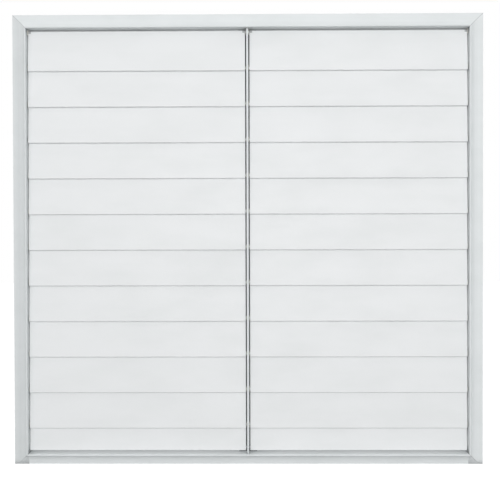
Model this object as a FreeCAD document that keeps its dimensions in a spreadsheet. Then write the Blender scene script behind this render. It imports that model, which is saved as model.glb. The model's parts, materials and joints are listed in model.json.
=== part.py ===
import FreeCAD, Part
import os
import re

import Sketcher

# Gravity louvre shutter, all sizes in millimetres and degrees
#
# The origin lies in the middle of the opening, on the plane where the flange meets the wall.
# The front, which faces the weather, looks along -Y. +X is to the right and +Z is up.
# Two banks of twelve blades hang from rods at their top edges, each bank joined by a tie bar.

SIZES = {
    # Clear opening inside the frame, and how far each flange reaches out from it
    "opening_width": 653.0,
    "side_flange": 21.0,
    "top_flange": 20.5,
    "bottom_flange": 15.5,
    # Formed section of the frame
    "frame_sheet": 1.2,
    "rim_height": 7.5,
    "bead_width": 3.0,
    "cove_run": 10.0,
    "cove_angle": 40.0,
    "collar_depth": 46.0,
    # Blades, closed. The opening is as high as the two banks need
    "blade_pitch": 53.1,
    "last_blade_run": 38.2,
    "top_pivot_drop": 4.2,
    "pivot_setback": 7.0,
    "blade_overlap": 5.0,
    "blade_stile_gap": 1.0,
    "blade_mullion_gap": 1.8,
    "blade_sheet": 0.8,
    "lip_depth": 3.0,
    "lip_bend": 0.6,
    "rest_gap": 0.3,
    "sill_gap": 3.5,
    # Curl that holds the rod
    "rod_radius": 1.6,
    "curl_fit": 0.1,
    "curl_turn": 295.0,
    "rod_tail": 1.5,
    "rod_centre_gap": 0.3,
    # Square bushes in the stiles and the mullion
    "running_fit": 0.05,
    "bush_wall": 1.0,
    "bush_seat_fit": 0.05,
    "bush_collar_reach": 1.0,
    "bush_collar_sheet": 0.8,
    "bush_tail": 1.0,
    # Centre mullion, a channel folded at the front with its legs turned out at the back
    "mullion_width": 3.0,
    "mullion_sheet": 1.0,
    "mullion_front_inset": 3.0,
    "mullion_back_inset": 2.0,
    "mullion_back_width": 14.0,
    "foot_reach": 12.0,
    "foot_front": 12.0,
    "foot_back": 26.0,
    # Lug on each blade and the bar that ties them
    "link_reach": 22.0,
    "lug_sheet": 1.5,
    "lug_hub_radius": 3.6,
    "lug_foot": 26.0,
    "link_gap": 0.5,
    "bar_sheet": 2.0,
    "bar_width": 7.0,
    "bar_end": 3.4,
    "bar_corner": 2.5,
    "pin_radius": 1.5,
    "pin_play": 0.2,
    "pin_head_radius": 2.8,
    "pin_head": 0.8,
    "pin_tail": 0.6,
    # Corner brackets and rivets
    "bracket_leg": 25.0,
    "bracket_sheet": 1.5,
    "bracket_front": 22.0,
    "bracket_back": 42.0,
    "corner_rivet_inset": 12.0,
    "foot_rivet_offset": 8.0,
    "rivet_radius": 1.6,
    "rivet_fit": 0.05,
    "rivet_head_radius": 2.6,
    "rivet_head": 0.8,
    "rivet_tail": 0.7,
}

BLADE_COUNT = 12
CUT_MARGIN = "10"

# The small rounds that every blade, pin and hole repeats are made of flats
CURL_FLATS = 10
ROD_FLATS = 12
HOLE_FLATS = 6
HUB_FLATS = 3

# Lengths that follow from the sizes above
PIVOT_RUN = f"({BLADE_COUNT - 1} * blade_pitch)"
HALF_WIDTH = "(opening_width / 2)"
HALF_HEIGHT = f"((top_pivot_drop + {PIVOT_RUN} + last_blade_run + sill_gap) / 2)"
COVE_START = "(bead_width + cove_run)"
TILT = "asin((lip_depth + rest_gap) / blade_pitch)"
CURL_INSIDE = "(rod_radius + curl_fit)"
CURL_OUTSIDE = "(rod_radius + curl_fit + blade_sheet)"
TOP_PIVOT = f"({HALF_HEIGHT} - top_pivot_drop)"
BLADE_WIDTH = "((opening_width - mullion_width) / 2 - blade_stile_gap - blade_mullion_gap)"
BLADE_DROP = f"((blade_pitch + blade_overlap) / cos({TILT}))"
LAST_BLADE_DROP = f"(last_blade_run / cos({TILT}))"
BUSH_BORE = "(rod_radius + running_fit)"
BUSH_OUTSIDE = "(rod_radius + running_fit + bush_wall)"
BUSH_SEAT = "(rod_radius + running_fit + bush_wall + bush_seat_fit)"
LUG_START = f"(({BLADE_WIDTH} - lug_sheet) / 2)"
RIVET_DEPTH = "((bracket_front + bracket_back) / 2)"
FOOT_RIVET_DEPTH = "((foot_front + foot_back) / 2)"
RIVET_HOLE = "(rivet_radius + rivet_fit)"
PIN_HOLE = "(pin_radius + running_fit)"

doc = FreeCAD.newDocument("GravityLouvreShutter")
sheet = doc.addObject("Spreadsheet::Sheet", "Sizes")
for row, (alias, size) in enumerate(SIZES.items(), start=1):
    sheet.set(f"A{row}", alias)
    sheet.set(f"B{row}", str(size))
    sheet.setAlias(f"B{row}", alias)
doc.recompute()

sub_parts = []


def formula(text):
    """Turns the plain names of sizes into references to the sheet."""
    return re.sub(r"[a-z_]{3,}", lambda word: "Sizes." + word[0] if word[0] in SIZES else word[0], text)


def number(text):
    """The present value of a formula."""
    result = sheet.evalExpression(formula(text))
    return float(getattr(result, "Value", result))


def bind(item, prop, text):
    item.setExpression(prop, formula(text))


def polar(radius, angle):
    """The two coordinates of a point at a radius and an angle about the sketch's origin."""
    return f"({radius}) * cos({angle})", f"({radius}) * sin({angle})"


def keep(item, label):
    """Names a finished sub-part and lists it for writing."""
    item.Label = label
    sub_parts.append(item)
    return item


def new_body(name):
    return doc.addObject("PartDesign::Body", name)


def origin_feature(body, role):
    return next(item for item in body.Origin.OriginFeatures if item.Role == role)


def new_sketch(body, plane, offset=("0", "0", "0")):
    """A sketch on one of the body's own planes, moved by an offset in the plane's own axes."""
    sketch = body.newObject("Sketcher::SketchObject", f"{body.Name}_sketch")
    sketch.AttachmentSupport = (origin_feature(body, plane), [""])
    sketch.MapMode = "FlatFace"
    for axis, text in zip("xyz", offset):
        if text != "0":
            bind(sketch, f"AttachmentOffset.Base.{axis}", text)
    return sketch


def fix_point(sketch, edge, end, spot):
    """Ties an end of an edge to its two coordinates."""
    for kind, axis, text in zip(("DistanceX", "DistanceY"), (-2, -1), spot):
        if text == "0":
            sketch.addConstraint(Sketcher.Constraint("PointOnObject", edge, end, axis))
            continue
        limit = sketch.addConstraint(Sketcher.Constraint(kind, -1, 1, edge, end, number(text)))
        bind(sketch, f"Constraints[{limit}]", text)


def arc_between(start, end, radius, side):
    """The shorter arc from start to end, turning to the left (side 1) or to the right (side -1)."""
    chord = end - start
    middle = (start + end) * 0.5
    rise = max(radius * radius - chord.Length * chord.Length / 4, 0) ** 0.5
    across = FreeCAD.Vector(-chord.y, chord.x, 0).normalize() * side
    top = middle - across * (radius - rise)
    return Part.Arc(start, top, end)


def outline(sketch, steps):
    """Draws a closed outline. A step is (x, y) for a straight run to that point, or
    (x, y, radius, side) for an arc to it. The outline ends with its first step."""
    first = sketch.GeometryCount
    spots = [FreeCAD.Vector(number(step[0]), number(step[1]), 0) for step in steps]
    rounds = []
    for index in range(len(steps)):
        step = steps[(index + 1) % len(steps)]
        start = spots[index]
        end = spots[(index + 1) % len(steps)]
        if len(step) == 2:
            sketch.addGeometry(Part.LineSegment(start, end))
            rounds.append(None)
        else:
            arc = arc_between(start, end, number(step[2]), step[3])
            sketch.addGeometry(arc)
            turned_left = step[3] > 0
            rounds.append((step[2], turned_left))
    count = len(steps)
    for index in range(count):
        after = (index + 1) % count
        leaves = 2 if rounds[index] is None or rounds[index][1] else 1
        enters = 1 if rounds[after] is None or rounds[after][1] else 2
        sketch.addConstraint(Sketcher.Constraint("Coincident", first + index, leaves, first + after, enters))
        fix_point(sketch, first + after, enters, steps[after][:2])
        if rounds[index] is not None:
            radius = rounds[index][0]
            limit = sketch.addConstraint(Sketcher.Constraint("Radius", first + index, number(radius)))
            bind(sketch, f"Constraints[{limit}]", radius)
    return sketch


def flats(sketch, spot, radius, sides=HOLE_FLATS, around=False):
    """A regular outline about a spot. Its corners lie at the radius, or its sides do if it goes around."""
    reach = f"({radius} / cos({180 / sides}))" if around else radius
    steps = []
    for side in range(sides):
        across, up = polar(reach, (side + 0.5) * 360 / sides)
        steps.append((f"({spot[0]} + {across})", f"({spot[1]} + {up})"))
    return outline(sketch, steps)


def box_outline(sketch, left, right, low, high):
    return outline(sketch, [(left, low), (right, low), (right, high), (left, high)])


def square(sketch, spot, half):
    left, right = f"({spot[0]} - {half})", f"({spot[0]} + {half})"
    return box_outline(sketch, left, right, f"({spot[1]} - {half})", f"({spot[1]} + {half})")


def pad(body, sketch, length, both_ways=False):
    feature = body.newObject("PartDesign::Pad", f"{body.Name}_pad")
    feature.Profile = sketch
    feature.SideType = "Symmetric" if both_ways else "One side"
    bind(feature, "Length", length)
    sketch.Visibility = False
    return feature


def cut_through(body, sketch):
    """Cuts a sketch right through the body, both ways, and checks that it took something away."""
    doc.recompute()
    before = body.Shape.Volume
    feature = body.newObject("PartDesign::Pocket", f"{body.Name}_cut")
    feature.Profile = sketch
    feature.SideType = "Symmetric"
    feature.Type = "ThroughAll"
    sketch.Visibility = False
    doc.recompute()
    if body.Shape.Volume >= before:
        raise RuntimeError(f"{body.Name}: the cut removes nothing")
    return feature


def drill(body, plane, spots, radius):
    sketch = new_sketch(body, plane)
    for spot in spots:
        flats(sketch, spot, radius, around=True)
    return cut_through(body, sketch)


def punch_square(body, plane, spot, half):
    sketch = new_sketch(body, plane)
    square(sketch, spot, half)
    return cut_through(body, sketch)


def repeat_down(body, features, axis, length, backwards):
    """Repeats features once for each blade along one of the body's axes."""
    pattern = body.newObject("PartDesign::LinearPattern", f"{body.Name}_row")
    pattern.Originals = features
    pattern.Direction = (origin_feature(body, axis), [""])
    pattern.Reversed = backwards
    pattern.Occurrences = BLADE_COUNT
    bind(pattern, "Length", length)
    body.Tip = pattern
    return pattern


def mirror(body, plane, features=None):
    """Mirrors the given features, or the whole body, in one of its own planes."""
    feature = body.newObject("PartDesign::Mirrored", f"{body.Name}_mirrored")
    if features is None:
        feature.TransformMode = "Whole shape"
    else:
        feature.Originals = features
    feature.MirrorPlane = (origin_feature(body, plane), [""])
    body.Tip = feature
    return feature


def place(item, spot, axis=(1, 0, 0), angle="0"):
    item.Placement = FreeCAD.Placement(
        FreeCAD.Vector(*(number(text) for text in spot)),
        FreeCAD.Rotation(FreeCAD.Vector(*axis), number(angle)))
    for letter, text in zip("xyz", spot):
        if text != "0":
            bind(item, f".Placement.Base.{letter}", text)
    if angle != "0":
        bind(item, ".Placement.Rotation.Angle", angle)


# Frame: four lengths of one formed section, mitred at the corners
#
# The section is one strip of sheet. A flat land lies on the wall, a cove sweeps it forward, a
# rounded bead turns it back at the front, and the collar runs back through the wall.


def frame_section(flange):
    """The section of a rail, with the opening's face on the sketch's x axis and outwards up."""
    half_bead = "(bead_width / 2)"
    bead_centre = "(bead_width / 2 - rim_height)"
    cove_radius = "(cove_run / sin(cove_angle))"
    cove_front = f"(-frame_sheet - {cove_radius} * (1 - cos(cove_angle)))"
    inner_leg = "(bead_width - frame_sheet)"
    inner_cut = f"(({half_bead} - frame_sheet) * (2 - sqrt(2)))"
    outer_cove = f"({cove_radius} + frame_sheet)"
    cove_back = f"({outer_cove} - frame_sheet - {cove_radius})"
    leg_height = f"({COVE_START} - {inner_leg})"
    inner_corner = f"(-frame_sheet - {cove_radius} + sqrt({outer_cove}^2 - {leg_height}^2))"
    return [
        ("collar_depth", "0"),
        ("collar_depth", "frame_sheet"),
        (bead_centre, "frame_sheet"),
        (f"({bead_centre} - {inner_cut})", f"(frame_sheet + {inner_cut})"),
        (f"({bead_centre} - {inner_cut})", f"({inner_leg} - {inner_cut})"),
        (bead_centre, inner_leg),
        (inner_corner, inner_leg),
        (cove_back, COVE_START, outer_cove, 1),
        (cove_back, flange),
        ("-frame_sheet", flange),
        ("-frame_sheet", COVE_START),
        (cove_front, "bead_width", cove_radius, -1),
        (bead_centre, "bead_width"),
        ("-rim_height", half_bead, half_bead, 1),
        (bead_centre, "0", half_bead, 1),
    ]


def mitre(sketch, half_run, half_span, flange, end_flange, side):
    """The waste beyond one mitred end: 45 degrees through the bead and cove, then to the corner."""
    inner = f"({half_run} - {CUT_MARGIN})"
    cove_corner = f"({half_run} + {COVE_START})"
    outer = f"({half_run} + {end_flange})"
    beyond = f"({outer} + {CUT_MARGIN})"
    top = f"({half_span} + {flange} + {CUT_MARGIN})"
    steps = [
        (inner, f"({half_span} - {CUT_MARGIN})"),
        (beyond, f"({half_span} - {CUT_MARGIN})"),
        (beyond, top),
        (outer, top),
        (outer, f"({half_span} + {flange})"),
        (cove_corner, f"({half_span} + {COVE_START})"),
    ]
    if side < 0:
        steps = [(f"-{x}", y) for x, y in reversed(steps)]
    outline(sketch, steps)


def frame_member(label, half_run, half_span, flange, minus_flange, plus_flange, quarter_turns):
    """One rail or stile, drawn as if it were the top one, then turned into its place."""
    body = new_body(label)
    section = new_sketch(body, "YZ_Plane", ("0", half_span, "0"))
    outline(section, frame_section(flange))
    run = f"(2 * {half_run} + 2 * max({minus_flange}; {plus_flange}))"
    pad(body, section, run, both_ways=True)
    ends = new_sketch(body, "XZ_Plane")
    mitre(ends, half_run, half_span, flange, minus_flange, -1)
    mitre(ends, half_run, half_span, flange, plus_flange, 1)
    cut_through(body, ends)
    corner = f"({half_run} - corner_rivet_inset)"
    drill(body, "XY_Plane", [(f"-{corner}", RIVET_DEPTH), (corner, RIVET_DEPTH)], RIVET_HOLE)
    place(body, ("0", "0", "0"), (0, 1, 0), str(90 * quarter_turns))
    return keep(body, label)


def rail(label, flange, quarter_turns):
    body = frame_member(label, HALF_WIDTH, HALF_HEIGHT, flange, "side_flange", "side_flange", quarter_turns)
    spots = [("-foot_rivet_offset", FOOT_RIVET_DEPTH), ("foot_rivet_offset", FOOT_RIVET_DEPTH)]
    drill(body, "XY_Plane", spots, RIVET_HOLE)


def stile(label, quarter_turns):
    """A side of the frame, with a row of seats for the pivot bushes in its collar."""
    end_flanges = ("bottom_flange", "top_flange") if quarter_turns < 0 else ("top_flange", "bottom_flange")
    body = frame_member(label, HALF_HEIGHT, HALF_WIDTH, "side_flange", *end_flanges, quarter_turns)
    first = TOP_PIVOT if quarter_turns < 0 else f"-{TOP_PIVOT}"
    seat = punch_square(body, "XY_Plane", (first, "pivot_setback"), BUSH_SEAT)
    repeat_down(body, [seat], "X_Axis", PIVOT_RUN, quarter_turns < 0)


# Centre mullion: a thin channel with its fold at the front, riveted through a foot at each end.
# Its legs turn out at the back, which stiffens it and closes the view through the side gaps.


def centre_mullion():
    body = new_body("centre_mullion")
    front = "(mullion_front_inset - rim_height)"
    back = "(collar_depth - mullion_back_inset)"
    half = "(mullion_width / 2)"
    inside = "(mullion_width / 2 - mullion_sheet)"
    reach = "(mullion_back_width / 2)"
    turn = f"({back} - mullion_sheet)"
    channel = new_sketch(body, "XY_Plane")
    outline(channel, [
        (reach, back),
        (inside, back),
        (inside, f"({front} + {half})"),
        ("0", f"({front} + mullion_sheet)", inside, -1),
        (f"-{inside}", f"({front} + {half})", inside, -1),
        (f"-{inside}", back),
        (f"-{reach}", back),
        (f"-{reach}", turn),
        (f"-{half}", turn),
        (f"-{half}", f"({front} + {half})"),
        ("0", front, half, 1),
        (half, f"({front} + {half})", half, 1),
        (half, turn),
        (reach, turn),
    ])
    pad(body, channel, f"(2 * {HALF_HEIGHT})", both_ways=True)
    feet = new_sketch(body, "XY_Plane", ("0", "0", f"({HALF_HEIGHT} - mullion_sheet)"))
    edge = f"({half} - mullion_sheet / 2)"
    tip = f"({half} + foot_reach)"
    box_outline(feet, edge, tip, "foot_front", "foot_back")
    box_outline(feet, f"-{tip}", f"-{edge}", "foot_front", "foot_back")
    flats(feet, ("foot_rivet_offset", FOOT_RIVET_DEPTH), RIVET_HOLE, around=True)
    flats(feet, ("-foot_rivet_offset", FOOT_RIVET_DEPTH), RIVET_HOLE, around=True)
    upper_feet = pad(body, feet, "mullion_sheet")
    doc.recompute()
    mirror(body, "XY_Plane", [upper_feet])
    doc.recompute()
    seat = punch_square(body, "YZ_Plane", ("pivot_setback", TOP_PIVOT), BUSH_SEAT)
    repeat_down(body, [seat], "Z_Axis", PIVOT_RUN, True)
    return keep(body, "centre_mullion")


# Pivot bushes: square collared sleeves, which can't turn in their punched holes


def pivot_bush_row(name, collar_face, sleeve_length):
    """A row of bushes whose collars rest on a wall that faces +X, with their sleeves through it."""
    body = new_body(name)
    spot = ("pivot_setback", TOP_PIVOT)
    collar = new_sketch(body, "YZ_Plane", ("0", "0", collar_face))
    square(collar, spot, f"({BUSH_OUTSIDE} + bush_collar_reach)")
    flats(collar, spot, BUSH_BORE, around=True)
    collar_pad = pad(body, collar, "bush_collar_sheet")
    sleeve = new_sketch(body, "YZ_Plane", ("0", "0", f"({collar_face} - {sleeve_length})"))
    square(sleeve, spot, BUSH_OUTSIDE)
    flats(sleeve, spot, BUSH_BORE, around=True)
    sleeve_pad = pad(body, sleeve, sleeve_length)
    repeat_down(body, [collar_pad, sleeve_pad], "Z_Axis", PIVOT_RUN, True)
    return body


def pivot_bushes():
    stile_bushes = pivot_bush_row("stile_bush", f"(-{HALF_WIDTH})", "(frame_sheet + bush_tail)")
    mirror(stile_bushes, "YZ_Plane")
    mullion_bushes = pivot_bush_row("mullion_bush", "(mullion_width / 2)", "(mullion_width + bush_tail)")
    group = doc.addObject("Part::Compound", "pivot_bush_group")
    group.Links = [stile_bushes, mullion_bushes]
    return keep(group, "pivot_bushes")


# Corner brackets: folded angles that hold the mitres from outside the collar


def corner_brackets():
    body = new_body("corner_bracket")
    near_x = f"({HALF_WIDTH} + frame_sheet)"
    near_z = f"({HALF_HEIGHT} + frame_sheet)"
    far_x = f"({near_x} + bracket_sheet)"
    far_z = f"({near_z} + bracket_sheet)"
    sketch = new_sketch(body, "XZ_Plane", ("0", "0", "-bracket_back"))
    outline(sketch, [
        (near_x, near_z),
        (near_x, f"({far_z} - bracket_leg)"),
        (far_x, f"({far_z} - bracket_leg)"),
        (far_x, far_z),
        (f"({far_x} - bracket_leg)", far_z),
        (f"({far_x} - bracket_leg)", near_z),
    ])
    pad(body, sketch, "(bracket_back - bracket_front)")
    drill(body, "YZ_Plane", [(RIVET_DEPTH, f"({HALF_HEIGHT} - corner_rivet_inset)")], RIVET_HOLE)
    drill(body, "XY_Plane", [(f"({HALF_WIDTH} - corner_rivet_inset)", RIVET_DEPTH)], RIVET_HOLE)
    mirror(body, "YZ_Plane")
    mirror(body, "XY_Plane")
    return keep(body, "corner_brackets")


# Rivets: a low head on the inner side and a shank out through the sheets


def four_rivets(name, plane, spot, head_face, tail_face):
    """A rivet whose shank points away from the middle of the frame, mirrored into four."""
    body = new_body(name)
    head = new_sketch(body, plane, ("0", "0", f"({head_face} - rivet_head)"))
    flats(head, spot, "rivet_head_radius")
    pad(body, head, "rivet_head")
    shank = new_sketch(body, plane, ("0", "0", head_face))
    flats(shank, spot, "rivet_radius")
    pad(body, shank, f"({tail_face} + rivet_tail - {head_face})")
    doc.recompute()
    mirror(body, "YZ_Plane")
    mirror(body, "XY_Plane")
    return body


def frame_rivets():
    stile_tail = f"({HALF_WIDTH} + frame_sheet + bracket_sheet)"
    rail_tail = f"({HALF_HEIGHT} + frame_sheet + bracket_sheet)"
    stile_spot = (RIVET_DEPTH, f"({HALF_HEIGHT} - corner_rivet_inset)")
    rail_spot = (f"({HALF_WIDTH} - corner_rivet_inset)", RIVET_DEPTH)
    foot_spot = ("foot_rivet_offset", FOOT_RIVET_DEPTH)
    foot_head = f"({HALF_HEIGHT} - mullion_sheet)"
    foot_tail = f"({HALF_HEIGHT} + frame_sheet)"
    group = doc.addObject("Part::Compound", "frame_rivet_group")
    group.Links = [
        four_rivets("stile_rivet", "YZ_Plane", stile_spot, HALF_WIDTH, stile_tail),
        four_rivets("rail_rivet", "XY_Plane", rail_spot, HALF_HEIGHT, rail_tail),
        four_rivets("foot_rivet", "XY_Plane", foot_spot, foot_head, foot_tail),
    ]
    return keep(group, "frame_rivets")


# Blades: one sheet each, curled round its rod at the top and turned back in a lip at the bottom
#
# Every blade is drawn upright about its rod, then leans until its lip stands one rest gap in
# front of the blade below, so the closed bank lies like shingles.


def curl(radius, flat_count=CURL_FLATS):
    """The corners of a curl about the rod, from the sheet's face over the top, and its end."""
    half_turn = f"(curl_turn / {2 * CURL_FLATS})"
    reach = f"({radius} / cos({half_turn}))"
    corners = [polar(reach, f"(180 - {2 * flat + 1} * {half_turn})") for flat in range(flat_count)]
    return corners, polar(radius, "(180 - curl_turn)")


def blade_section(drop):
    """The bent sheet: down the front, round the lip, up the back, and round the curl inside and out."""
    front = f"(-{CURL_OUTSIDE})"
    lip_end = f"(lip_depth - {CURL_OUTSIDE})"
    outer_cut = "((lip_bend + blade_sheet) * (2 - sqrt(2)))"
    inner_cut = "(blade_sheet + lip_bend * (2 - sqrt(2)))"
    inner_corners, inner_end = curl(CURL_INSIDE)
    outer_corners, outer_end = curl(CURL_OUTSIDE)
    return [
        (front, f"({outer_cut} - {drop})"),
        (f"({front} + {outer_cut})", f"(-{drop})"),
        (lip_end, f"(-{drop})"),
        (lip_end, f"(blade_sheet - {drop})"),
        (f"({front} + {inner_cut})", f"(blade_sheet - {drop})"),
        (f"({front} + blade_sheet)", f"({inner_cut} - {drop})"),
        *inner_corners,
        inner_end,
        outer_end,
        *reversed(outer_corners),
    ]


def lug_section():
    """The lug's plate: a foot along the blade's back and a hub level with the rod when closed."""
    middle = f"({CURL_INSIDE} + blade_sheet / 2)"
    hub_across, hub_up = polar("link_reach", TILT)
    round_rod, _ = curl(middle, CURL_FLATS + 2)
    hub = [polar("lug_hub_radius", 90 * (2 * corner / HUB_FLATS - 1)) for corner in range(HUB_FLATS + 1)]
    return [
        *round_rod[CURL_FLATS // 2:],
        (f"(-{middle})", "(-lug_foot)"),
        *((f"({hub_across} + {across})", f"({hub_up} + {up})") for across, up in hub),
    ]


def blade(label, left_edge, pivot_height, drop):
    body = new_body(label)
    section = new_sketch(body, "YZ_Plane")
    outline(section, blade_section(drop))
    pad(body, section, BLADE_WIDTH)
    lug = new_sketch(body, "YZ_Plane", ("0", "0", LUG_START))
    outline(lug, lug_section())
    flats(lug, polar("link_reach", TILT), PIN_HOLE, around=True)
    pad(body, lug, "lug_sheet")
    place(body, (left_edge, "pivot_setback", pivot_height), (-1, 0, 0), TILT)
    return keep(body, label)


def pivot_rod(label, left_end, pivot_height):
    rod = doc.addObject("Part::Prism", label)
    rod.Polygon = ROD_FLATS
    bind(rod, "Circumradius", "rod_radius")
    bind(rod, "Height", f"({HALF_WIDTH} + frame_sheet + rod_tail - rod_centre_gap)")
    place(rod, (left_end, "pivot_setback", pivot_height), (0, 1, 0), "90")
    return keep(rod, label)


def bank(side, left_edge, rod_start):
    """Twelve blades with their rods. The last blade is cut short above the sill."""
    for count in range(1, BLADE_COUNT + 1):
        height = f"({TOP_PIVOT} - {count - 1} * blade_pitch)"
        last = count == BLADE_COUNT
        drop = LAST_BLADE_DROP if last else BLADE_DROP
        blade(f"{side}_blade_{count:02d}", left_edge, height, drop)
        pivot_rod(f"{side}_pivot_rod_{count:02d}", rod_start, height)


# Tie bars: a flat bar behind each bank, with a headed pin through every lug


def tie_bar(side, left_edge):
    body = new_body(f"{side}_tie_bar")
    start = f"({left_edge} + {LUG_START} + lug_sheet + link_gap)"
    bar = new_sketch(body, "YZ_Plane")
    half = "(bar_width / 2)"
    flat = f"({half} - bar_corner)"
    low = f"(-{PIVOT_RUN} - bar_end)"
    outline(bar, [
        (f"(-{half})", "(bar_end - bar_corner)"),
        (f"(-{half})", f"({low} + bar_corner)"),
        (f"(-{flat})", low),
        (flat, low),
        (half, f"({low} + bar_corner)"),
        (half, "(bar_end - bar_corner)"),
        (flat, "bar_end"),
        (f"(-{flat})", "bar_end"),
    ])
    pad(body, bar, "bar_sheet")
    hole = drill(body, "YZ_Plane", [("0", "0")], PIN_HOLE)
    repeat_down(body, [hole], "Z_Axis", PIVOT_RUN, True)
    place(body, (start, "(pivot_setback + link_reach)", TOP_PIVOT))
    return keep(body, f"{side}_tie_bar")


def tie_pins(side, left_edge):
    body = new_body(f"{side}_tie_pins")
    head = new_sketch(body, "YZ_Plane", ("0", "0", "(-pin_play - pin_head)"))
    flats(head, ("0", "0"), "pin_head_radius")
    head_pad = pad(body, head, "pin_head")
    shank = new_sketch(body, "YZ_Plane", ("0", "0", "(-pin_play)"))
    flats(shank, ("0", "0"), "pin_radius")
    shank_pad = pad(body, shank, "(pin_play + lug_sheet + link_gap + bar_sheet + pin_tail)")
    repeat_down(body, [head_pad, shank_pad], "Z_Axis", PIVOT_RUN, True)
    place(body, (f"({left_edge} + {LUG_START})", "(pivot_setback + link_reach)", TOP_PIVOT))
    return keep(body, f"{side}_tie_pins")


rail("top_rail", "top_flange", 0)
rail("bottom_rail", "bottom_flange", 2)
stile("left_stile", -1)
stile("right_stile", 1)
centre_mullion()
pivot_bushes()
corner_brackets()
frame_rivets()

BANKS = {
    "left": (f"(blade_stile_gap - {HALF_WIDTH})", f"(-{HALF_WIDTH} - frame_sheet - rod_tail)"),
    "right": ("(mullion_width / 2 + blade_mullion_gap)", "rod_centre_gap"),
}
for side, (left_edge, rod_start) in BANKS.items():
    bank(side, left_edge, rod_start)
    tie_bar(side, left_edge)
    tie_pins(side, left_edge)

doc.recompute()

for item in doc.Objects:
    if "Invalid" in item.State or "Error" in item.State:
        raise RuntimeError(f"{item.Label} did not build: {item.State}")
for item in sub_parts:
    if item.Shape.isNull() or not item.Shape.isValid() or item.Shape.Volume <= 0:
        raise RuntimeError(f"{item.Label} has no valid solid")

os.makedirs("parts", exist_ok=True)
for item in sub_parts:
    item.Shape.exportStep(f"parts/{item.Label}.step")
    print(f"{item.Label}: {len(item.Shape.Solids)} solid(s), {item.Shape.Volume:.1f} cubic mm")
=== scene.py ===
# %% [markdown]
# # A gravity louvre shutter, dressed for its picture
#
# The object is a fan shutter for a wall: a white frame of formed sheet, a thin mullion down the
# middle, and two banks of twelve blades that hang from rods along their top edges. Air from the fan
# lifts the blades, and their own weight shuts them. The solids come from the CAD model and stay as
# they are. This lesson gives each of them the finish of the real piece, rounds off the small
# turned pieces, and sets up the light and the camera of a plain catalogue picture.

# %% Load the solids
import json
import math

import bmesh
import bpy
from mathutils import Matrix, Vector


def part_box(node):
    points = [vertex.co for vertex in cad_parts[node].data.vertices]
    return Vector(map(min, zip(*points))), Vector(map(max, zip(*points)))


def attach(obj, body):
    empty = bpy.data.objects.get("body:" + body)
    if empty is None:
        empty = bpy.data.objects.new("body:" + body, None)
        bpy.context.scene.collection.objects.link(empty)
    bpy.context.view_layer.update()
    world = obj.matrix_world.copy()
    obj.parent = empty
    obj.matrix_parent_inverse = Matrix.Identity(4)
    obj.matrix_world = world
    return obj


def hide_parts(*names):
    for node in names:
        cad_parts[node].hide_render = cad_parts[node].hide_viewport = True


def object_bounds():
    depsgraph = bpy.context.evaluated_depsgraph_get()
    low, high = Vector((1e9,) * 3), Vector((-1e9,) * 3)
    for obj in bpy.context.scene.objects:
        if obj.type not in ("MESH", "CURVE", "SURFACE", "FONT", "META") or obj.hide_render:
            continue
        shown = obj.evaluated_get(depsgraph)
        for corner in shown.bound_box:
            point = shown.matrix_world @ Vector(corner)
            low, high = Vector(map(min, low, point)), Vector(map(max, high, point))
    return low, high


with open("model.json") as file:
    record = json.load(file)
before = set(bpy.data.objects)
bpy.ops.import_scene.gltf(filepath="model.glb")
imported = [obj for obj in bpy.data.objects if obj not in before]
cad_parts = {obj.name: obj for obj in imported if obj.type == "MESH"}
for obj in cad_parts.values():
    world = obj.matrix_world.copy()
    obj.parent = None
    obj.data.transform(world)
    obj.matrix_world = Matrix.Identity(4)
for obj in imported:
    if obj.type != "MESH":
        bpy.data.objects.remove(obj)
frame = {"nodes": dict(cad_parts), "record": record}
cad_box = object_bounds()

nodes = frame["nodes"]
print(f"{len(nodes)} CAD nodes, box from {tuple(cad_box[0])} to {tuple(cad_box[1])}")

# %% [markdown]
# ## Helpers for colour and for nodes
#
# Paint and plating are known by their sRGB hex colours, as a paint shop would read them off a
# screen. Shaders work in linear light, so one function turns the one into the other. A second one
# adds a node with its settings and links, which keeps each material as short as its recipe.

# %% Colour and nodes
MM = 0.001


def linear(hex_colour):
    parts = [int(hex_colour[place:place + 2], 16) / 255 for place in (1, 3, 5)]
    light = [part / 12.92 if part <= 0.04045 else ((part + 0.055) / 1.055) ** 2.4 for part in parts]
    return (*light, 1.0)


def add(tree, kind, settings, links=None):
    """Adds a node. Settings go to its sockets or to its own fields, and links come from other sockets."""
    node = tree.nodes.new(kind)
    for name, value in settings.items():
        if isinstance(name, str) and hasattr(node, name):
            setattr(node, name, value)
        else:
            node.inputs[name].default_value = value
    for name, source in (links or {}).items():
        tree.links.new(source, node.inputs[name])
    return node


def per_metre(wavelength_mm):
    """The scale of a pattern whose features repeat about this often."""
    return 1 / (wavelength_mm * MM)


def new_material(name):
    """An empty material with its output and the coordinates of the object that wears it."""
    material = bpy.data.materials.new(name)
    material.use_nodes = True
    tree = material.node_tree
    tree.nodes.clear()
    output = add(tree, "ShaderNodeOutputMaterial", {})
    place = add(tree, "ShaderNodeTexCoord", {}).outputs["Object"]
    return material, tree, output, place


# %% [markdown]
# ## Baked enamel on sheet metal
#
# The frame, the mullion and the blades are formed from thin sheet, then sprayed and baked. Baked
# enamel of this kind is a smooth satin white. It gives the eye three things: a faint orange peel,
# slow waves where the thin sheet isn't quite flat, and a breath of dust that takes the last of the
# shine off in patches. The peel is really about 1 mm across, which is finer than a pixel here, so
# it is drawn at 5 mm. All three ride on object coordinates, so they stay on the metal as it moves.

# %% Baked enamel
PEEL_MM = 5.0
WAVE_MM = 90.0
DUST_MM = 35.0
# Grey for painted shade, and for the dark of the frame's mitre seams.
SHADE_AND_SEAM_GREY = "#5C6062"


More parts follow.
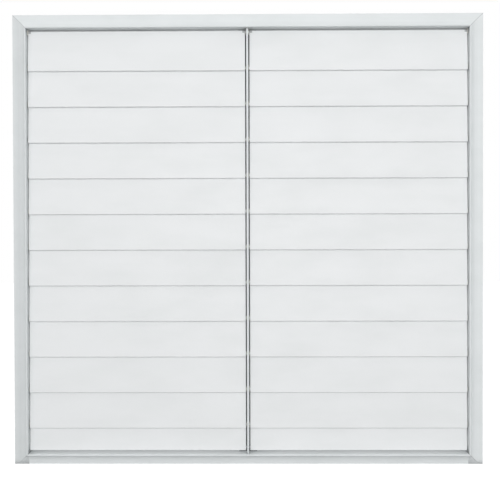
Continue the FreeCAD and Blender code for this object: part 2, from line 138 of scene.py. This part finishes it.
def baked_enamel(name, paint, dust, stretch, shade=None):
    """White enamel. The waves are longer along X by the stretch, as in a long blade. A shade, where
    there is one, is a function that says where the grey goes: 1 on full grey, 0 on plain paint. The grey is
    painted shade, except in the frame's mitre seams, where it is their dark joint."""
    material, tree, output, place = new_material(name)
    along = add(tree, "ShaderNodeMapping", {"Scale": (1 / stretch, 1.0, 1.0)}, {"Vector": place})
    peel = add(tree, "ShaderNodeTexNoise",
               {"Scale": per_metre(PEEL_MM), "Detail": 2.0, "Roughness": 0.5}, {"Vector": place})
    wave = add(tree, "ShaderNodeTexNoise",
               {"Scale": per_metre(WAVE_MM), "Detail": 1.0, "Roughness": 0.4}, {"Vector": along.outputs[0]})
    dust_and_left_shade = add(tree, "ShaderNodeTexNoise",
               {"Scale": per_metre(DUST_MM), "Detail": 5.0, "Roughness": 0.6}, {"Vector": along.outputs[0]})
    patches = add(tree, "ShaderNodeMapRange",
                  {"From Min": 0.42, "From Max": 0.78, "To Min": 0.0, "To Max": 0.45},
                  {"Value": dust_and_left_shade.outputs["Fac"]})
    colour = add(tree, "ShaderNodeMix", {"data_type": "RGBA", 6: linear(paint), 7: linear(dust)},
                 {0: patches.outputs["Result"]})
    # The shade function lays painted shade in grey over the paint, and on the frame also the mitre seams.
    if shade:
        colour = add(tree, "ShaderNodeMix", {"data_type": "RGBA", 7: linear(SHADE_AND_SEAM_GREY)},
                     {0: shade(tree, place), 6: colour.outputs[2]})
    gloss = add(tree, "ShaderNodeMapRange",
                {"From Min": 0.3, "From Max": 0.75, "To Min": 0.5, "To Max": 0.66},
                {"Value": dust_and_left_shade.outputs["Fac"]})
    slow = add(tree, "ShaderNodeBump", {"Strength": 0.15, "Distance": 1.2 * MM},
               {"Height": wave.outputs["Fac"]})
    fine = add(tree, "ShaderNodeBump", {"Strength": 0.12, "Distance": 0.05 * MM},
               {"Height": peel.outputs["Fac"], "Normal": slow.outputs["Normal"]})
    enamel = add(tree, "ShaderNodeBsdfPrincipled", {"IOR": 1.5},
                 {"Base Color": colour.outputs[2], "Roughness": gloss.outputs["Result"],
                  "Normal": fine.outputs["Normal"]})
    tree.links.new(enamel.outputs[0], output.inputs["Surface"])
    print(f"{name}: paint {paint}, dust {dust}")
    return material


# %% [markdown]
# ## Painted shade at the ends of the curls
#
# Each blade is curled round its rod along the top edge, and the ends of the curl run against the
# collars of the bushes. At both ends of each curl a grey patch paints the shade there. In the
# photograph it shows as two small marks beside the top of the mullion. The lips of the blades above
# hide all the others until the shutter opens. The rods are one blade's pitch apart, so a triangle
# wave along Z finds them all, and the depth tells the curl from the lip that hangs 0.3 mm in front of it.

# %% Enamel on the blades
# Size of the grey patches that paint the shade at the ends of the curls.
CURL_END_SHADE_SHARE = 0.55
CURL_END_SHADE_LENGTH = 4.5 * MM
CURL_END_SHADE_HALF_HEIGHT = 1.6 * MM
CURL_END_SHADE_SOFTNESS = 1.2 * MM
CURL_WALL = 1.0 * MM


def maths(tree, operation, first, second=0.0):
    """One arithmetic node. Each term is a number or a socket."""
    terms = {0: first, 1: second}
    numbers = {place: term for place, term in terms.items() if isinstance(term, float)}
    sockets = {place: term for place, term in terms.items() if not isinstance(term, float)}
    return add(tree, "ShaderNodeMath", {"operation": operation, **numbers}, sockets).outputs[0]


def painted_curl_end_shade(tree, place):
    # Grey patches at both ends of each curl, at the rods' height: painted shade.
    blade_low, blade_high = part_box("right_blade_01")
    rod_low, rod_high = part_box("right_pivot_rod_01")
    rod_height = float(rod_low.z + rod_high.z) / 2
    next_low, next_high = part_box("right_pivot_rod_02")
    pitch = rod_height - float(next_low.z + next_high.z) / 2
    blade_middle = float(blade_low.x + blade_high.x) / 2
    half_length = float(blade_high.x - blade_low.x) / 2
    point = add(tree, "ShaderNodeSeparateXYZ", {}, {0: place})
    across = maths(tree, "ABSOLUTE", point.outputs["X"])
    from_middle = maths(tree, "ABSOLUTE", maths(tree, "SUBTRACT", across, blade_middle))
    up = maths(tree, "SUBTRACT", point.outputs["Z"], rod_height)
    from_rod = maths(tree, "PINGPONG", up, pitch / 2)
    start = half_length - CURL_END_SHADE_LENGTH
    near_end = add(tree, "ShaderNodeMapRange",
                   {"From Min": start, "From Max": start + CURL_END_SHADE_SOFTNESS,
                    "To Min": 0.0, "To Max": CURL_END_SHADE_SHARE}, {"Value": from_middle})
    near_rod = add(tree, "ShaderNodeMapRange",
                   {"From Min": CURL_END_SHADE_HALF_HEIGHT, "From Max": CURL_END_SHADE_HALF_HEIGHT + CURL_END_SHADE_SOFTNESS,
                    "To Min": 1.0, "To Max": 0.0}, {"Value": from_rod})
    on_curl = maths(tree, "GREATER_THAN", point.outputs["Y"], float(rod_low.y) - CURL_WALL)
    patch = maths(tree, "MULTIPLY", near_end.outputs["Result"], near_rod.outputs["Result"])
    return maths(tree, "MULTIPLY", patch, on_curl)


blade_enamel = baked_enamel("white_enamel_on_blades", "#E9EBEC", "#E1E4E4", 3.0, painted_curl_end_shade)

# %% [markdown]
# ## Painted shade beside the mullion and the stiles
#
# The gaps on both sides of the mullion and at the outer ends of the blades are 1 to 2 mm wide and
# 40 mm deep. Shade is painted in grey on the metal beside them, so the gaps read as dark lines from
# the front. How closed in a point is can be measured: the ambient occlusion node looks round it, past
# the back of the blade's edge, and gives the share of its view that is open. Less painted shade goes
# to the stiles than to the mullion.

# %% Enamel with painted shade in the gaps
# How far the occlusion looks, and where its painted shade fades out.
GAP_REACH = 15.0 * MM
GAP_SHADE_FADE = 0.35
UNSHADED_ON_MULLION = 0.85
UNSHADED_ON_STILE = 0.7


def painted_gap_shade(tree, unshaded_share):
    """Painted shade: 1 where a point is closed in, down to 0 where at least the unshaded share of its view is
    open.
    """
    open_share = add(tree, "ShaderNodeAmbientOcclusion", {"samples": 8, "Distance": GAP_REACH})
    fade = add(tree, "ShaderNodeMapRange",
               {"From Min": unshaded_share - GAP_SHADE_FADE, "From Max": unshaded_share, "To Min": 1.0, "To Max": 0.0},
               {"Value": open_share.outputs["AO"]})
    return fade.outputs["Result"]


def mullion_painted_shade(tree, place):
    # Painted shade in the gaps beside the mullion.
    return painted_gap_shade(tree, UNSHADED_ON_MULLION)


mullion_enamel = baked_enamel("white_enamel_on_mullion", "#E6EAEC", "#DADFE0", 1.0, mullion_painted_shade)

# %% [markdown]
# ## The seams of the mitres
#
# The frame is four lengths cut at the corners and pushed together. The joint isn't filled, so it
# shows as a hairline that the enamel has half closed. It runs at 45 degrees from the opening's
# corner over the bead and the cove, then on to the outer corner, which lies a little off that line
# because the flanges differ in width. The line is worked out from the boxes of the four lengths:
# "run" is how far a point lies outside the opening sideways, and "rise" how far up or down.
#
# The left stile is painted greyer than its three neighbours, as painted shade: it is darkest
# where the land turns into the cove, and lightens towards the outer edge.

# %% Mitre seams
COVE_END = 13.0 * MM
SEAM_HALF = 0.45 * MM
SEAM_CORE = 0.15 * MM
SEAM_SHARE = 0.6
BEAD_END = 3.0 * MM
COLLAR_SKIN = 0.3 * MM
# Strength and profile of the painted shade on the left stile.
LEFT_SHADE_SHARE = 0.16
LEFT_SHADE_ON_BEAD = 0.2
LEFT_SHADE_AT_EDGE = 0.4

opening = Vector((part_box("right_stile")[0].x, 0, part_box("top_rail")[0].z))
side_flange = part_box("right_stile")[1].x - opening.x
flange_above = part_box("top_rail")[1].z - opening.z
flange_below = -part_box("bottom_rail")[0].z - opening.z


def seams_and_painted_shade(tree, place):
    """Dark of the mitre seams, with painted shade in the slits at the blades' ends and over the left stile.
    """
    point = add(tree, "ShaderNodeSeparateXYZ", {}, {0: place})
    run = maths(tree, "SUBTRACT", maths(tree, "ABSOLUTE", point.outputs["X"]), float(opening.x))
    rise = maths(tree, "SUBTRACT", maths(tree, "ABSOLUTE", point.outputs["Z"]), float(opening.z))
    above = maths(tree, "GREATER_THAN", point.outputs["Z"], 0.0)
    slopes = [float((flange - COVE_END) / (side_flange - COVE_END))
              for flange in (flange_below, flange_above)]
    slope = maths(tree, "ADD", maths(tree, "MULTIPLY", above, slopes[1] - slopes[0]), slopes[0])
    past_cove = maths(tree, "MAXIMUM", maths(tree, "SUBTRACT", run, COVE_END), 0.0)
    line = maths(tree, "ADD", maths(tree, "MINIMUM", run, COVE_END),
                 maths(tree, "MULTIPLY", past_cove, slope))
    past_line = maths(tree, "SUBTRACT", rise, line)
    seam = add(tree, "ShaderNodeMapRange",
               {"From Min": SEAM_CORE, "From Max": SEAM_HALF, "To Min": SEAM_SHARE, "To Max": 0.0},
               {"Value": maths(tree, "ABSOLUTE", past_line)})
    # The slit at the blades' ends gets painted shade from the occlusion.
    on_collar = maths(tree, "GREATER_THAN", run, -COLLAR_SKIN)
    slit = maths(tree, "MULTIPLY", on_collar, painted_gap_shade(tree, UNSHADED_ON_STILE))
    # Painted shade over the left stile, darkest where the land turns into the cove.
    inner = add(tree, "ShaderNodeMapRange",
                {"From Min": BEAD_END, "From Max": COVE_END, "To Min": LEFT_SHADE_ON_BEAD, "To Max": 1.0},
                {"Value": run})
    outer = add(tree, "ShaderNodeMapRange",
                {"From Min": COVE_END, "From Max": float(side_flange), "To Min": 1.0, "To Max": LEFT_SHADE_AT_EDGE},
                {"Value": run})
    on_stile = maths(tree, "MULTIPLY", maths(tree, "LESS_THAN", past_line, 0.0), on_collar)
    on_left = maths(tree, "MULTIPLY", maths(tree, "LESS_THAN", point.outputs["X"], 0.0), on_stile)
    left_shade_profile = maths(tree, "MULTIPLY", inner.outputs["Result"], outer.outputs["Result"])
    dust_and_left_shade = maths(tree, "MULTIPLY", left_shade_profile, maths(tree, "MULTIPLY", on_left, LEFT_SHADE_SHARE))
    return maths(tree, "MAXIMUM", maths(tree, "MAXIMUM", seam.outputs["Result"], slit), dust_and_left_shade)


frame_enamel = baked_enamel("white_enamel_on_frame", "#E1E5E6", "#D6DBDB", 2.0, seams_and_painted_shade)

# %% [markdown]
# ## Bright zinc on drawn rod
#
# The pivot rods are drawn steel wire, plated in bright zinc with a clear bluish passivate. Drawing
# leaves faint lines along the rod, so the scratches are noise pulled out along X, and the plating
# dulls in spots.

# %% Zinc-plated rod
DRAW_LINE_MM = 0.8
DRAW_SQUEEZE = 0.02
PLATING_SPOT_MM = 14.0


def zinc_plate(name, bright, dull):
    material, tree, output, place = new_material(name)
    along = add(tree, "ShaderNodeMapping", {"Scale": (DRAW_SQUEEZE, 1.0, 1.0)}, {"Vector": place})
    lines = add(tree, "ShaderNodeTexNoise",
                {"Scale": per_metre(DRAW_LINE_MM), "Detail": 3.0, "Roughness": 0.6},
                {"Vector": along.outputs[0]})
    spots = add(tree, "ShaderNodeTexNoise",
                {"Scale": per_metre(PLATING_SPOT_MM), "Detail": 4.0, "Roughness": 0.6}, {"Vector": place})
    colour = add(tree, "ShaderNodeMix", {"data_type": "RGBA", 6: linear(bright), 7: linear(dull)},
                 {0: spots.outputs["Fac"]})
    gloss = add(tree, "ShaderNodeMapRange",
                {"From Min": 0.3, "From Max": 0.7, "To Min": 0.26, "To Max": 0.44},
                {"Value": spots.outputs["Fac"]})
    bump = add(tree, "ShaderNodeBump", {"Strength": 0.15, "Distance": 0.04 * MM},
               {"Height": lines.outputs["Fac"]})
    metal = add(tree, "ShaderNodeBsdfPrincipled", {"Metallic": 1.0},
                {"Base Color": colour.outputs[2], "Roughness": gloss.outputs["Result"],
                 "Normal": bump.outputs["Normal"]})
    tree.links.new(metal.outputs[0], output.inputs["Surface"])
    print(f"{name}: {bright} to {dull}")
    return material


rod_zinc = zinc_plate("bright_zinc_on_drawn_rod", "#C9CDD0", "#A9AEB1")

# %% [markdown]
# ## Hot-dip galvanised brackets
#
# The corner brackets sit outside the collar and are left unpainted. Hot-dip zinc freezes into
# spangles, flat crystals 5 to 15 mm across that each catch the light a little differently. Voronoi
# cells are that pattern: their random colour shifts both the grey and the gloss from crystal to
# crystal.

# %% Galvanised sheet
SPANGLE_MM = 8.0


def galvanised(name, light, dark):
    material, tree, output, place = new_material(name)
    crystals = add(tree, "ShaderNodeTexVoronoi", {"Scale": per_metre(SPANGLE_MM)}, {"Vector": place})
    which = add(tree, "ShaderNodeSeparateColor", {}, {"Color": crystals.outputs["Color"]})
    colour = add(tree, "ShaderNodeMix", {"data_type": "RGBA", 6: linear(light), 7: linear(dark)},
                 {0: which.outputs[0]})
    gloss = add(tree, "ShaderNodeMapRange", {"To Min": 0.32, "To Max": 0.55}, {"Value": which.outputs[1]})
    metal = add(tree, "ShaderNodeBsdfPrincipled", {"Metallic": 1.0},
                {"Base Color": colour.outputs[2], "Roughness": gloss.outputs["Result"]})
    tree.links.new(metal.outputs[0], output.inputs["Surface"])
    print(f"{name}: spangle {SPANGLE_MM} mm")
    return material


bracket_zinc = galvanised("hot_dip_zinc_on_brackets", "#C4C8CA", "#A2A7AA")

# %% [markdown]
# ## Mill-finish aluminium
#
# The tie bars are cut from rolled strip, and the pins and rivets are turned or headed from wire.
# All are bare aluminium: pale, a little warm, with a soft oxide haze. The bar keeps the lines of
# the rolls along its length, which is upright here. On the small headed pieces the haze alone shows.

# %% Mill-finish aluminium
ROLL_LINE_MM = 0.9
ROLL_SQUEEZE = 0.02
HAZE_MM = 11.0


def mill_aluminium(name, bright, haze, squeeze):
    """Bare aluminium. The squeeze shortens Z in the pattern, which pulls the lines out along Z."""
    material, tree, output, place = new_material(name)
    along = add(tree, "ShaderNodeMapping", {"Scale": (1.0, 1.0, squeeze)}, {"Vector": place})
    lines = add(tree, "ShaderNodeTexNoise",
                {"Scale": per_metre(ROLL_LINE_MM), "Detail": 2.0, "Roughness": 0.5},
                {"Vector": along.outputs[0]})
    cloud = add(tree, "ShaderNodeTexNoise",
                {"Scale": per_metre(HAZE_MM), "Detail": 4.0, "Roughness": 0.6}, {"Vector": place})
    colour = add(tree, "ShaderNodeMix", {"data_type": "RGBA", 6: linear(bright), 7: linear(haze)},
                 {0: cloud.outputs["Fac"]})
    gloss = add(tree, "ShaderNodeMapRange",
                {"From Min": 0.3, "From Max": 0.7, "To Min": 0.34, "To Max": 0.52},
                {"Value": cloud.outputs["Fac"]})
    bump = add(tree, "ShaderNodeBump", {"Strength": 0.2, "Distance": 0.05 * MM},
               {"Height": lines.outputs["Fac"]})
    metal = add(tree, "ShaderNodeBsdfPrincipled", {"Metallic": 1.0},
                {"Base Color": colour.outputs[2], "Roughness": gloss.outputs["Result"],
                 "Normal": bump.outputs["Normal"]})
    tree.links.new(metal.outputs[0], output.inputs["Surface"])
    print(f"{name}: {bright} to {haze}")
    return material


bar_aluminium = mill_aluminium("mill_aluminium_bar", "#D2D3D4", "#B9BBBC", ROLL_SQUEEZE)
rivet_aluminium = mill_aluminium("headed_aluminium_rivet", "#D6D7D8", "#BDBFC0", 1.0)

# %% [markdown]
# ## Moulded nylon
#
# The bushes are natural nylon, so the rods turn without squeak or rust. It is a creamy white that
# lets a little light in, with the faint grain of the mould on it.

# %% Moulded nylon
GRAIN_MM = 0.7


def moulded_nylon(name, body_colour):
    material, tree, output, place = new_material(name)
    grain = add(tree, "ShaderNodeTexNoise",
                {"Scale": per_metre(GRAIN_MM), "Detail": 2.0, "Roughness": 0.5}, {"Vector": place})
    gloss = add(tree, "ShaderNodeMapRange",
                {"From Min": 0.3, "From Max": 0.7, "To Min": 0.4, "To Max": 0.55},
                {"Value": grain.outputs["Fac"]})
    bump = add(tree, "ShaderNodeBump", {"Strength": 0.2, "Distance": 0.03 * MM},
               {"Height": grain.outputs["Fac"]})
    nylon = add(tree, "ShaderNodeBsdfPrincipled",
                {"Base Color": linear(body_colour), "IOR": 1.53, "Subsurface Weight": 0.15,
                 "Subsurface Radius": (1.0, 0.9, 0.7), "Subsurface Scale": 0.6 * MM},
                {"Roughness": gloss.outputs["Result"], "Normal": bump.outputs["Normal"]})
    tree.links.new(nylon.outputs[0], output.inputs["Surface"])
    print(f"{name}: {body_colour}")
    return material


bush_nylon = moulded_nylon("natural_nylon_bush", "#DBD8CE")

# %% [markdown]
# ## The finish of each CAD piece
#
# The record gives every CAD node a slot, which is the finish that the maker would order. One table
# turns slots into the materials above, so no piece can be missed.

# %% Dress the CAD pieces
FINISHES = {
    "frame_paint": frame_enamel,
    "mullion_paint": mullion_enamel,
    "blade_paint": blade_enamel,
    "rod_steel": rod_zinc,
    "bush_nylon": bush_nylon,
    "bar_aluminium": bar_aluminium,
    "rivet_aluminium": rivet_aluminium,
    "bracket_zinc": bracket_zinc,
}
SLOT_OF = {}
for part in frame["record"]["subparts"]:
    SLOT_OF[part["node"]] = part["material_slot"]
for name, node in nodes.items():
    for slot in node.material_slots:
        slot.material = FINISHES[SLOT_OF[name]]
print(f"{len(SLOT_OF)} nodes dressed in {len(FINISHES)} finishes")

# %% [markdown]
# ## Round rods
#
# In the CAD model the rods, pins and rivets are many-sided, which keeps that model light. The real
# ones are round. A profile spun round an axis is how a lathe or a header makes them, so one
# function spins a short list of (radius, distance) steps, and each new piece takes its size and
# place from the node that it stands for.

# %% Spin a profile
ROUND_SIDES = 32


def spun(name, material, turns):
    """A mesh of pieces, each a profile of (radius, distance) steps spun about its own start and axis."""
    mesh = bpy.data.meshes.new(name)
    work = bmesh.new()
    for start, axis, profile in turns:
        to_axis = axis.to_track_quat("Z", "Y").to_matrix().to_4x4()
        place = Matrix.Translation(start) @ to_axis
        rings = []
        for radius, distance in profile:
            if radius == 0:
                rings.append([work.verts.new(place @ Vector((0, 0, distance)))])
                continue
            angles = [math.tau * side / ROUND_SIDES for side in range(ROUND_SIDES)]
            points = [Vector((radius * math.cos(a), radius * math.sin(a), distance)) for a in angles]
            rings.append([work.verts.new(place @ point) for point in points])
        for low, high in zip(rings, rings[1:]):
            for side in range(ROUND_SIDES):
                after = (side + 1) % ROUND_SIDES
                corners = [low[side % len(low)], low[after % len(low)],
                           high[after % len(high)], high[side % len(high)]]
                face = work.faces.new(dict.fromkeys(corners))
                face.smooth = True
    work.to_mesh(mesh)
    work.free()
    mesh.materials.append(material)
    mesh.set_sharp_from_angle(angle=math.radians(35))
    piece = bpy.data.objects.new(name, mesh)
    bpy.context.scene.collection.objects.link(piece)
    return piece


ROD_CHAMFER = 0.3 * MM
BODY_OF = {}
for body, members in frame["record"]["behaviour"]["bodies"].items():
    for member in members:
        BODY_OF[member] = body

rod_names = sorted(name for name in nodes if "_pivot_rod_" in name)
for name in rod_names:
    low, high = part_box(name)
    middle = (low + high) / 2
    radius = (high.z - low.z) / 2
    length = high.x - low.x
    profile = [(0, 0), (radius - ROD_CHAMFER, 0), (radius, ROD_CHAMFER),
               (radius, length - ROD_CHAMFER), (radius - ROD_CHAMFER, length), (0, length)]
    rod = spun(name + "_round", rod_zinc, [(Vector((low.x, middle.y, middle.z)), Vector((1, 0, 0)), profile)])
    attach(rod, BODY_OF[name])
    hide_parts(name)
print(f"{len(rod_names)} rods of {radius * 2 / MM:.1f} mm, {length / MM:.1f} mm long")

# %% [markdown]
# ## Domed rivets and pins
#
# A rivet has a low domed head on the side it was driven from and a squashed tail on the other. The
# frame's rivets and the pins of the tie bars are each one CAD node that holds many loose solids.
# Welding the node's corners together and walking its edges finds them. In each solid, the corners'
# distances from its own axis tell the head from the shank, and the new rivet takes its sizes.

# %% Rivets and pins
TAIL_HEIGHT = 0.6 * MM
TAIL_SPREAD = 1.4
DOME_STEPS = 6


def loose_solids(name):
    """The corners of each loose solid in a CAD node."""
    work = bmesh.new()
    work.from_mesh(nodes[name].data)
    bmesh.ops.remove_doubles(work, verts=work.verts, dist=0.001 * MM)
    left, solids = set(work.verts), []
    while left:
        reached, waiting = [], [left.pop()]
        while waiting:
            corner = waiting.pop()
            reached.append(corner.co.copy())
            for edge in corner.link_edges:
                other = edge.other_vert(corner)
                if other in left:
                    left.remove(other)
                    waiting.append(other)
        solids.append(reached)
    work.free()
    return solids


def driven_rivet(corners):
    """Start, axis and profile of the rivet that fills one many-sided solid."""
    lows = Vector(min(corner[axis] for corner in corners) for axis in range(3))
    highs = Vector(max(corner[axis] for corner in corners) for axis in range(3))
    middle, size = (lows + highs) / 2, highs - lows
    long_axis = max(range(3), key=lambda axis: size[axis])
    axis = Vector(1.0 if place == long_axis else 0.0 for place in range(3))
    length = size[long_axis]
    steps = {}
    for corner in corners:
        along = (corner - middle).dot(axis)
        radius = ((corner - middle) - along * axis).length
        key = round(along / MM, 3)
        steps[key] = max(steps.get(key, 0), radius)
    places = sorted(steps)
    if steps[places[0]] < steps[places[-1]]:
        axis = -axis
        steps = {-key: radius for key, radius in steps.items()}
        places = sorted(steps)
    head_radius, shank_radius = steps[places[0]], steps[places[-1]]
    head_height = (places[1] - places[0]) * MM
    start = middle - axis * (length / 2)
    turns = [math.pi / 2 * step / DOME_STEPS for step in range(DOME_STEPS + 1)]
    dome = [(head_radius * math.sin(turn), head_height * (1 - math.cos(turn))) for turn in turns]
    dome[0] = (0, 0)
    tail_radius = shank_radius * TAIL_SPREAD
    tail = [(tail_radius, length - TAIL_HEIGHT), (tail_radius * 0.85, length - 0.3 * TAIL_HEIGHT),
            (shank_radius * 0.6, length), (0, length)]
    return start, axis, dome + [(shank_radius, head_height), (shank_radius, length - TAIL_HEIGHT)] + tail


for name in ("frame_rivets", "left_tie_pins", "right_tie_pins"):
    solids = loose_solids(name)
    rivets = spun(name + "_domed", rivet_aluminium, [driven_rivet(corners) for corners in solids])
    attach(rivets, BODY_OF[name])
    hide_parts(name)
    print(f"{name}: {len(solids)} domed rivets")

# %% [markdown]
# ## The floor and the air around it
#
# A catalogue picture shows the object alone on white. To the lamps the floor is mid-grey paper, so
# that little light bounces up under the bottom rail, and it takes the object's shadow. A light of
# its own, shown to the camera and to mirrors only, lifts it to white. The world does the same for the
# space behind. The light that the world sheds on the object is stronger from the front than from the
# back, where it would shine through the gaps, and stronger from above than from below.

# %% Floor and world
FLOOR_SIZE = 8.0
FLOOR_LIFT = 0.9
FIBRE_MM = 3.0
FRONT_LEVEL = 0.6
REAR_LEVEL = 0.6
LOW_SHARE = 0.7
HIGH_SHARE = 1.0

floor_material, tree, output, place = new_material("grey_paper_floor")
fibre = add(tree, "ShaderNodeTexNoise", {"Scale": per_metre(FIBRE_MM), "Detail": 3.0}, {"Vector": place})
tone = add(tree, "ShaderNodeMix", {"data_type": "RGBA", 6: linear("#9E9E9E"), 7: linear("#969696")},
           {0: fibre.outputs["Fac"]})
paper = add(tree, "ShaderNodeBsdfDiffuse", {}, {"Color": tone.outputs[2]})
ray = add(tree, "ShaderNodeLightPath", {})
seen = add(tree, "ShaderNodeMath", {"operation": "MAXIMUM"},
           {0: ray.outputs["Is Camera Ray"], 1: ray.outputs["Is Glossy Ray"]})
lift = add(tree, "ShaderNodeMath", {"operation": "MULTIPLY", 1: FLOOR_LIFT}, {0: seen.outputs[0]})
glow = add(tree, "ShaderNodeEmission", {"Color": (1, 1, 1, 1)}, {"Strength": lift.outputs[0]})
both = add(tree, "ShaderNodeAddShader", {}, {0: paper.outputs[0], 1: glow.outputs[0]})
tree.links.new(both.outputs[0], output.inputs["Surface"])

floor_mesh = bpy.data.meshes.new("floor")
half = FLOOR_SIZE / 2
level = cad_box[0][2]
corners = [(-half, -half, level), (half, -half, level), (half, half, level), (-half, half, level)]
floor_mesh.from_pydata(corners, [], [(0, 1, 2, 3)])
floor_mesh.materials.append(floor_material)
floor = bpy.data.objects.new("floor", floor_mesh)
bpy.context.scene.collection.objects.link(floor)

world = bpy.data.worlds.new("white_room")
bpy.context.scene.world = world
world.use_nodes = True
tree = world.node_tree
tree.nodes.clear()
ray = add(tree, "ShaderNodeLightPath", {})
mirrored = add(tree, "ShaderNodeMath", {"operation": "MAXIMUM"},
               {0: ray.outputs["Is Glossy Ray"], 1: ray.outputs["Is Transmission Ray"]})
shown = add(tree, "ShaderNodeMath", {"operation": "MAXIMUM"},
            {0: ray.outputs["Is Camera Ray"], 1: mirrored.outputs[0]})
towards = add(tree, "ShaderNodeTexCoord", {}).outputs["Generated"]
way = add(tree, "ShaderNodeSeparateXYZ", {}, {0: towards})
front = add(tree, "ShaderNodeMapRange",
            {"From Min": -0.3, "From Max": 0.3, "To Min": FRONT_LEVEL, "To Max": REAR_LEVEL},
            {"Value": way.outputs["Y"]})
height = add(tree, "ShaderNodeMapRange",
             {"From Min": -0.2, "From Max": 0.8, "To Min": LOW_SHARE, "To Max": HIGH_SHARE},
             {"Value": way.outputs["Z"]})
room = add(tree, "ShaderNodeMath", {"operation": "MULTIPLY"},
           {0: front.outputs["Result"], 1: height.outputs["Result"]})
strength = add(tree, "ShaderNodeMix", {3: 1.0}, {0: shown.outputs[0], 2: room.outputs[0]})
sky = add(tree, "ShaderNodeBackground", {"Color": (1, 1, 1, 1)}, {"Strength": strength.outputs[0]})
output = add(tree, "ShaderNodeOutputWorld", {}, {"Surface": sky.outputs[0]})
print(f"floor at {level:.4f} m, world at {FRONT_LEVEL} in front and {REAR_LEVEL} behind")

# %% [markdown]
# ## Broad light from the front
#
# The photograph's light is soft and nearly frontal: the blades cast only thin lines on the blades
# below, the top rail is the brightest side of the frame and the left stile the darkest. A broad lamp
# a little above the camera and to its right does that, and a much weaker one above on the left keeps
# the left stile from going grey.

# %% Lamps


def soft_lamp(name, spot, size, power):
    lamp = bpy.data.lights.new(name, "AREA")
    lamp.shape = "SQUARE"
    lamp.size = size
    lamp.energy = power
    holder = bpy.data.objects.new(name, lamp)
    holder.location = spot
    holder.rotation_euler = (-Vector(spot)).to_track_quat("-Z", "Y").to_euler()
    bpy.context.scene.collection.objects.link(holder)
    return holder


soft_lamp("key_right", spot=(0.3, -3.2, 0.45), size=1.6, power=53)
soft_lamp("fill_above_left", spot=(-1.5, -2.6, 1.2), size=1.2, power=8)
print("two lamps")

# %% [markdown]
# ## The camera
#
# The shutter fills the frame from straight ahead, a hair above its middle and turned by half a
# degree. The place, the tilt and the lens were found by matching the corners of the frame and the
# ends of the blades' lines in the photograph, with the camera 1.2 m away.

# %% Camera
CAMERA_SPOT = (0.0149, -1.2, 0.0187)
CAMERA_PITCH = -0.757
CAMERA_ROLL = 0.148
CAMERA_TURN = 0.544
CAMERA_LENS = 58.3

lens = bpy.data.cameras.new("catalogue_camera")
lens.lens = CAMERA_LENS
lens.sensor_width = 36.0
camera = bpy.data.objects.new("catalogue_camera", lens)
camera.location = CAMERA_SPOT
camera.rotation_euler = [math.radians(angle) for angle in (90 + CAMERA_PITCH, CAMERA_ROLL, CAMERA_TURN)]
bpy.context.scene.collection.objects.link(camera)
bpy.context.scene.camera = camera
bpy.context.scene.view_settings.view_transform = "Standard"
print(f"lens {CAMERA_LENS} mm")

# %% [markdown]
# ## Size and finish
#
# The dressed model has to stay as large as the CAD model.

# %% Sizes and finish
print("scene dressed")
